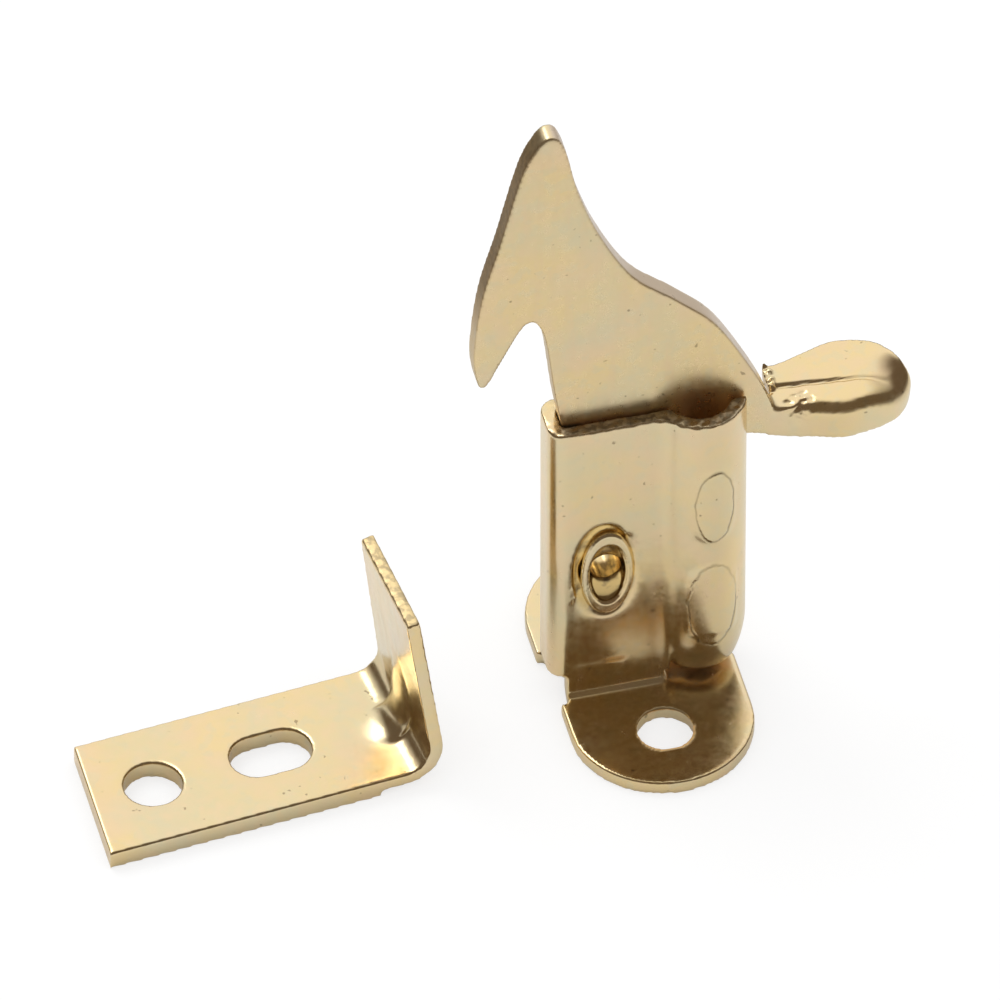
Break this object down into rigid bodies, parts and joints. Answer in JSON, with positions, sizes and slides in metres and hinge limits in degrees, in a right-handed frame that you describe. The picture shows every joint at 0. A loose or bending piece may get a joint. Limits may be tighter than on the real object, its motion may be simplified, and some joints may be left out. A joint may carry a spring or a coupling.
{
  "type": "elbow catch",
  "caption": "Sprung elbow catch in plated sheet metal: a hooked lever with a thumb tab pivots in a folded screw-on case, beside an L-shaped strike plate.",
  "frame": {"origin": "Midway between the two screw holes in the case's ears, on the mounting face under the ears.", "axes": "+Z points away from the mounting face along the screws, +X points from the hook's side to the thumb tab, +Y points to the ear behind the case."},
  "size_m": [0.0614, 0.0246, 0.0556],
  "materials": {
    "plated_case": "pale yellow passivated plating on pressed sheet, soft shine",
    "plated_lever": "pale yellow passivated plating on blanked plate, soft shine, coarser on the sheared edges",
    "plated_rivet": "deeper yellow plating, bright on the rolled ring",
    "spring_wire": "drawn spring wire, dull grey",
    "plated_strike": "pale yellow passivated plating on bent plate, soft shine"
  },
  "bodies": {
    "case": {"case": "plated_case", "pivot_rivet": "plated_rivet", "spring": "spring_wire", "strike_plate": "plated_strike"},
    "lever": {"lever": "plated_lever"}
  },
  "joints": [
    {"name": "lever_pivot", "type": "hinge", "parent": "case", "child": "lever", "pos_m": [-0.003, 0, 0.0126], "axis": [0, 1, 0], "range_deg": [0, 14], "stiffness_Nm_per_rad": 0.07, "springref_deg": -34.38, "deforming": ["spring"]}
  ]
}
